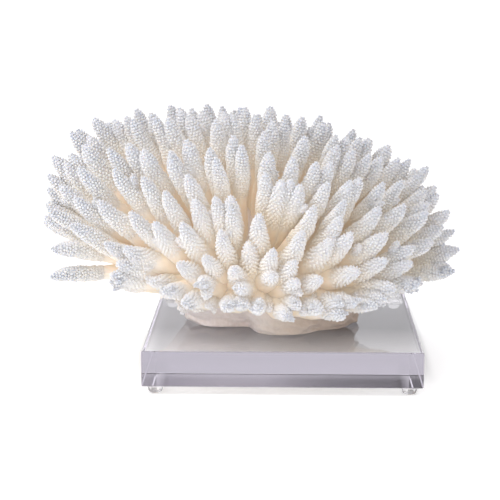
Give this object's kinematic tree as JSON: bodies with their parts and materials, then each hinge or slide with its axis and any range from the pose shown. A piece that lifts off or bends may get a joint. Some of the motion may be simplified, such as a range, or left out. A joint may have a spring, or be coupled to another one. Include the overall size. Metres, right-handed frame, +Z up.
{
  "type": "branching coral on display plate",
  "caption": "Broad domed colony of branching coral with crowded blunt fingers on a flat-cut base, standing on a square clear plate with small clear feet.",
  "frame": {"origin": "on the surface that the feet stand on, under the middle of the whole object's width and depth", "axes": "+Z up, -Y towards the front of the colony, +X to its right"},
  "size_m": [0.3132, 0.2226, 0.1964],
  "materials": {
    "coral": "matte chalky coral skeleton, white at the tips and cream below",
    "coral_base": "matte smooth encrusting base",
    "acrylic": "polished clear cast acrylic with a faint lavender grey",
    "clear_rubber": "clear soft bumper, slightly cloudy"
  },
  "bodies": {
    "root": {"coral_base": "coral_base", "crown_limb_01": "coral", "crown_limb_02": "coral", "crown_limb_03": "coral", "crown_limb_04": "coral", "crown_limb_05": "coral", "display_plate": "acrylic", "foot_back_left": "clear_rubber", "foot_back_right": "clear_rubber", "foot_front_left": "clear_rubber", "foot_front_right": "clear_rubber", "high_limb_01": "coral", "high_limb_02": "coral", "high_limb_03": "coral", "high_limb_04": "coral", "high_limb_05": "coral", "high_limb_06": "coral", "high_limb_07": "coral", "high_limb_08": "coral", "high_limb_09": "coral", "low_limb_01": "coral", "low_limb_02": "coral", "low_limb_03": "coral", "low_limb_04": "coral", "low_limb_05": "coral", "low_limb_06": "coral", "low_limb_07": "coral", "low_limb_08": "coral", "low_limb_09": "coral", "low_limb_10": "coral", "low_limb_11": "coral", "low_limb_12": "coral", "low_limb_13": "coral", "rim_limb_01": "coral", "rim_limb_02": "coral", "rim_limb_03": "coral", "rim_limb_04": "coral", "rim_limb_05": "coral", "rim_limb_06": "coral", "rim_limb_07": "coral", "rim_limb_08": "coral", "rim_limb_09": "coral", "rim_limb_10": "coral", "rim_limb_11": "coral", "rim_limb_12": "coral", "rim_limb_13": "coral", "rim_limb_14": "coral", "rim_limb_15": "coral"}
  },
  "joints": []
}
